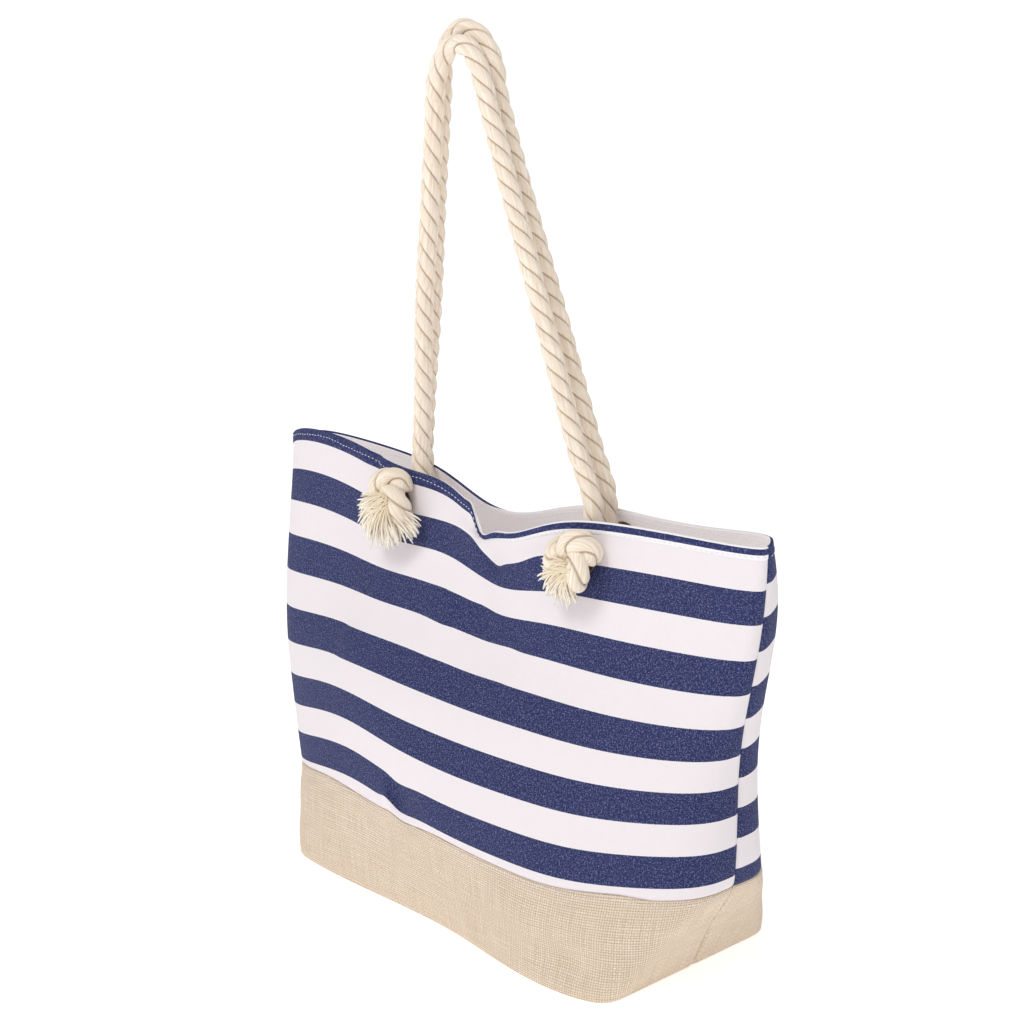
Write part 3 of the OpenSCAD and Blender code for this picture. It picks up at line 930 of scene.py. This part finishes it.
def makeTassel(sideName, handName, look):
    # Yarns leave a disc at the rope's cut end, fan out by their place in it, and droop
    point, across, up, outward = localAxes(sideName, handName)
    count, steps = look["count"], tassel["steps"]
    r = np.sqrt(chance.random(count)) * tassel["root"]
    a = chance.random(count) * 2 * pi
    start = np.stack([r * np.cos(a), r * np.sin(a)], -1) + look["from"]
    fan = (chance.random(count) * 2 - 1) * look["spread"] * 1.05 + chance.normal(0, 0.12, count)
    lift = chance.random(count)
    angle = (radians(look["fray"]) + fan)[:, None]
    length = look["length"] * (1 - 0.1 * np.abs(fan) + chance.normal(0, 0.07, count))
    u = np.linspace(0, 1, steps)
    curl = chance.normal(0, 1.6, (count, 2))
    wave = chance.random((count, 1)) * 6.28
    reach = length[:, None] * u
    gather = 1 - 0.3 * u
    a = np.cos(angle) * reach + start[:, :1] * gather + curl[:, :1] * u**2 + 0.5 * np.sin(9 * u + wave)
    b = np.sin(angle) * reach + start[:, 1:] * gather + curl[:, 1:] * u**2 - tassel["droop"] * u**2
    # out of the wall: from high at the root down to low, along (1 - u)^1.3, with a little arch
    lift = lift[:, None]
    high = look["high"] + 4 * lift
    leftward = 0.5 - 0.5 * np.cos(angle)
    low = tassel["low"] + tassel["lift"] * lift * (1 - 0.4 * np.abs(fan)[:, None]) + look["stand"] * leftward
    fall = (1 - u) ** 1.3
    c = high * fall + low * (1 - fall) + tassel["arch"] * np.sin(pi * u) * lift
    paths = point + a[..., None] * across + b[..., None] * up + c[..., None] * outward
    direction = unit(np.gradient(paths, axis=1))
    side = unit(np.cross(direction, outward))
    thick = (tassel["thin"] + tassel["thickMore"] * chance.random((count, 1))) * np.where(u > 0.93, 0.55, 1.0)
    thick[:, 0] *= 0.6
    tint = np.broadcast_to((u**1.5)[None, :, None], (count, steps, tassel["sides"]))
    return thinTubes(
        f"{sideName}Tassel{handName.capitalize()}", paths, side, np.cross(side, direction), thick,
        tassel["sides"], finishes["yarn"], "rope", tint.ravel(),
    )


for (sideName, handName), look in knots.items():
    knotPiece = makeKnot(sideName, handName, look)
    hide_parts(f"knot_{sideName}_{handName}")
    tasselPiece = makeTassel(sideName, handName, look)
    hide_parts(f"tassel_{sideName}_{handName}")
    handlePieces[sideName][2].extend([knotPiece, tasselPiece])
for sideName, (upper, path, pieces) in handlePieces.items():
    route = [tuple(p * mm) for p in (*path[::12], path[-1])]
print("knots and frayed ends made")

# Canvas panels, base and lining

sheets = {
    # cut sizes in metres
    "canvasFlat": (0.600, 0.262),
    "baseFlat": (0.560, 0.090),
    "liningFlat": (0.600, 0.340),
    "bottomFlat": (0.380, 0.180),
    # rows and columns of points
    "canvasGrid": (110, 321),
    "baseGrid": (40, 261),
    "liningGrid": (70, 161),
    "floorGrid": (30, 121),
    # where the edges lie, and how far they tuck in
    "canvasLow": bag["baseH"] + 0.3,
    "canvasHigh": bag["height"] - bag["hemH"] + 0.5,
    "canvasTuck": 1.2,
    "baseLow": 0.9,
    "baseTuck": (0.6, 0.7),
    "liningLow": 3.0,
    "liningHigh": bag["height"] - 1.5,
    "liningFloorZ": 2.1,
    "floorClear": 0.1,
}


def makePanel(side, sideName):
    low, high, tuck = sheets["canvasLow"], sheets["canvasHigh"], sheets["canvasTuck"]
    grid, cut = wallGrid(side, low, high, *sheets["canvasGrid"], tuckLow=tuck, dropLow=1)
    cloth = finishes[f"{sideName}Canvas"]
    panel = sheetPiece(f"{sideName}Canvas", grid, cut, bag["canvasT"], material=cloth, slot="canvas")
    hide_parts(f"{sideName}_panel")


def makeBase(side, sideName):
    low, tuck = sheets["baseLow"], sheets["baseTuck"]
    grid, cut = wallGrid(side, low, bag["baseH"], *sheets["baseGrid"], 0.0, *tuck, dropHigh=1)
    base = sheetPiece(f"{sideName}Base", grid, cut, bag["weaveT"], material=finishes["straw"], slot="weave")
    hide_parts(f"base_{sideName}")


def makeLining(side, sideName):
    low, high = sheets["liningLow"], sheets["liningHigh"]
    grid, cut = wallGrid(side, low, high, *sheets["liningGrid"], bag["liningInset"])
    cloth = finishes["lining"]
    lining = sheetPiece(f"{sideName}Lining", grid, cut, bag["liningT"], material=cloth, slot="lining")
    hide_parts(f"{sideName}_lining")


for side, sideName in sides:
    makePanel(side, sideName)
    makeBase(side, sideName)
    makeLining(side, sideName)
print("walls made")

# Hems and stitches

hem = {
    "proud": 0.5,  # how far the band stands out of the wall
    "fold": 1.55,  # radius of the fold at the top
    "outer": 10.0,
    "inner": 11.0,
    "under": 0.5,  # how far the outer edge is turned under
    "ply": 0.8,
    "rows": 12,
    "bendRows": 9,
    "columns": 361,
    "flat": (0.600, 0.023),
    # navy band on the cut strip: place across the bag, where it starts, where it ends, from the outer edge
    "navy": {
        "front": [[-275, -2, 12.0], [-60, -2, 11.2], [0, -1, 10.0], [45, 3.4, 9.0], [275, 4.0, 8.8]],
        "back": [
            [-275, -2, 30], [-150, -2, 26], [-95, 1, 16.5], [-30, 3.5, 13.5], [0, 3.5, 10], [150, 4, 9.5],
            [230, -2, 10.5], [275, -2, 12],
        ],
    },
}
stitch = {
    "length": 2.4,
    "gap": 2.0,
    "radius": 0.3,
    "thick": (0.35, 0.95, 1.0, 0.95, 0.35),
    "sides": 6,
    "arch": 0.32,
    "proud": 0.02,
    # ends of a line of stitches, and the places along it
    "turns": (1.5, 178.5),
    "places": 600,
    # below the top edge: low on the wide navy band at the left, and higher up at the right, where it is narrow
    "hemDrop": [[0, 8.2], [80, 8.2], [98, 4.6], [180, 4.6]],
    "facingDrop": 7.0,
    "baseDrop": 3.5,
    # how far a line wanders
    "hemWander": 0.5,
    "facingWander": 0.3,
    "baseWander": 0.2,
}
stitchTurns = np.linspace(*stitch["turns"], stitch["places"])


def hemProfile():
    # Up the outside, round a half circle at the top, and down the inside: inset, height and run of each row
    r, rows = hem["fold"], hem["rows"]
    middle = r - hem["proud"]
    up = np.linspace(-hem["outer"], -r, rows)
    bend = np.linspace(0, pi, hem["bendRows"])[1:-1]
    down = np.linspace(-r, -hem["inner"], rows)
    outer, inner = np.full(rows, middle - r), np.full(rows, middle + r)
    inset = np.concatenate([outer, middle - r * np.cos(bend), inner])
    height = np.concatenate([up, -r + r * np.sin(bend), down])
    run = runAlong(np.stack([inset, height], -1))
    inset[0] += hem["under"]
    return inset, height, run


def makeHem(side, sideName):
    inset, height, run = (v[:, None] for v in hemProfile())
    grid = bagSurface(side, seamToSeam(side, hem["columns"])[None, :], 1 + height / bag["height"], inset)
    cut = np.stack(np.broadcast_arrays(runAlong(grid[0])[None, :], run), -1)
    # the tint is the distance in from the navy band's nearer edge
    place, low, high = np.array(hem["navy"][sideName], float).T
    x = grid[0, :, 0]
    inside = np.clip(np.minimum(run - np.interp(x, place, low), np.interp(x, place, high) - run), -3, 3)
    cloth = finishes["hem"]
    piece = sheetPiece(f"{sideName}Hem", grid, cut, hem["ply"], material=cloth, slot="hem", tints=inside)
    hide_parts(f"{sideName}_hem")


def makeStitches(name, line, outward, wander):
    # Each stitch is a thin bent tube on the line: a run of even steps along it, arched a little off the cloth
    run = runAlong(line)
    period = stitch["length"] + stitch["gap"]
    starts = np.arange(stitch["gap"], run[-1] - period, period)
    u = np.linspace(0, 1, len(stitch["thick"]))
    at = starts[:, None] + stitch["length"] * u[None, :]
    centre = np.stack([np.interp(at, run, line[:, k]) for k in range(3)], -1)
    off = np.stack([np.interp(at, run, outward[:, k]) for k in range(3)], -1)
    forward = unit(centre[:, -1:] - centre[:, :1]) * np.ones_like(centre)
    side = unit(np.cross(forward, off))
    arch = (stitch["arch"] * np.sin(pi * u) + stitch["proud"])[None, :, None]
    drift = wander * np.sin(at * 0.09)[..., None] + chance.normal(0, 0.12, (len(starts), 1, 1))
    centre = centre + off * arch + side * drift
    thick = stitch["radius"] * np.array(stitch["thick"])
    thinTubes(name, centre, side, off, thick, stitch["sides"], finishes["thread"], "canvas")


def wallLine(side, height, inset):
    # A line along the wall at the given heights, with the way out of the cloth at each place
    t = height / bag["height"]
    line = bagSurface(side, stitchTurns, t, inset)
    rise = bagSurface(side, stitchTurns, t + 0.004, inset) - line
    outward = unit(np.cross(np.gradient(line, axis=0), rise))
    fromInside = line - bagSurface(side, stitchTurns, t, inset + 1.0)
    return line, outward * np.sign((outward * fromInside).sum(-1, keepdims=True))


def makeStitchLines(side, sideName):
    top, inside = bag["height"], 2 * hem["fold"] - hem["proud"]
    line, outward = wallLine(side, top - smoothTable(stitchTurns, stitch["hemDrop"]), -hem["proud"])
    makeStitches(f"{sideName}HemStitches", line, outward, stitch["hemWander"])
    line, outward = wallLine(side, top - stitch["facingDrop"], inside)
    makeStitches(f"{sideName}FacingStitches", line, -outward, stitch["facingWander"])
    line, outward = wallLine(side, bag["baseH"] - stitch["baseDrop"] - seamDrop(side, stitchTurns), 0.0)
    makeStitches(f"{sideName}BaseStitches", line, outward, stitch["baseWander"])


for side, sideName in sides:
    makeHem(side, sideName)
    makeStitchLines(side, sideName)
print("hems and stitches made")


def floorPiece(name, z, inset, thick, material, slot, node):
    # Rings of the outline at the floor, shrinking to a point in the middle; the sheet grows upwards
    rings, count = sheets["floorGrid"]
    turn = np.linspace(0, 180, count)
    rim = np.vstack([bagSurface(front, turn, 0.0, inset), bagSurface(back, turn[::-1], 0.0, inset)[1:-1]])
    grid = rim[None] * np.linspace(1, 0.02, rings)[:, None, None]
    grid[..., 2] = z
    cols = len(rim)
    faces = gridFaces(rings, cols, closed=True)[0]
    uv = grid.reshape(-1, 3)[faces][..., :2].reshape(-1, 2).tolist() + [[0, 0], [1, 0], [0, 1]] * cols
    points = np.vstack([grid.reshape(-1, 3), [[0, 0, z]]])
    faces = faces.tolist() + fanFaces((rings - 1) * cols, cols, rings * cols)
    piece = makePiece(name, points, faces, uv, "bag", finishes[material], slot)
    wall = piece.modifiers.new("wall", "SOLIDIFY")
    wall.thickness = thick * mm
    wall.offset = -1
    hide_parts(node)


baseInset = bag["weaveT"] + sheets["floorClear"]
floorPiece("baseFloor", 0.0, baseInset, bag["weaveT"], "straw", "weave", "base_floor")
liningZ, liningInset = sheets["liningFloorZ"], bag["liningInset"]
floorPiece("liningFloor", liningZ, liningInset, bag["liningT"], "lining", "lining", "lining_floor")
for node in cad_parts:
    if node.startswith(("eyelet", "washer")):
        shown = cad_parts[node]
        if shown.material_slots:
            shown.material_slots[0].material = finishes["brass"]
        else:
            shown.data.materials.append(finishes["brass"])
print("floors and eyelets made")

# Studio

studio = {
    "floor": rgb(252, 252, 252),
    "reach": 30,
    "aim": (0, 0, 0.3),
    "light": (1, 1, 1, 1),
    "world": 0.54,
    "floorGlow": 0.5,
    # place in metres, power in watts and side in metres of each lamp
    "lamps": {
        "key": (0.0, -1.9, 2.9, 40, 1.3),
        "fill": (2.4, -1.4, 1.6, 7, 1.8),
    },
}


def makeStudio():
    floorMesh = bpy.data.meshes.new("studioFloor")
    r = studio["reach"]
    floorMesh.from_pydata([(-r, -r, 0), (r, -r, 0), (r, r, 0), (-r, r, 0)], [], [(0, 1, 2, 3)])
    floor = bpy.data.objects.new("studioFloor", floorMesh)
    bpy.context.scene.collection.objects.link(floor)
    f = Finish("studioFloor", Roughness=0.9, Specular_IOR_Level=0.1)
    f.feed(f.shader.inputs["Base Color"], studio["floor"])
    f.feed(f.shader.inputs["Emission Color"], studio["light"])
    f.feed(f.shader.inputs["Emission Strength"], studio["floorGlow"])
    floorMesh.materials.append(f.material)
    world = bpy.data.worlds.new("studio")
    world.use_nodes = True
    sky = world.node_tree.nodes["Background"]
    sky.inputs[0].default_value = studio["light"]
    sky.inputs[1].default_value = studio["world"]
    bpy.context.scene.world = world
    for name, (x, y, z, power, size) in studio["lamps"].items():
        lamp = bpy.data.lights.new(name, "AREA")
        lamp.energy, lamp.size = power, size
        holder = bpy.data.objects.new(name, lamp)
        holder.location = (x, y, z)
        beam = Vector(studio["aim"]) - Vector((x, y, z))
        holder.rotation_euler = beam.to_track_quat("-Z", "Y").to_euler()
        bpy.context.scene.collection.objects.link(holder)
    bpy.context.scene.view_settings.view_transform = "Standard"


makeStudio()
print("studio set")
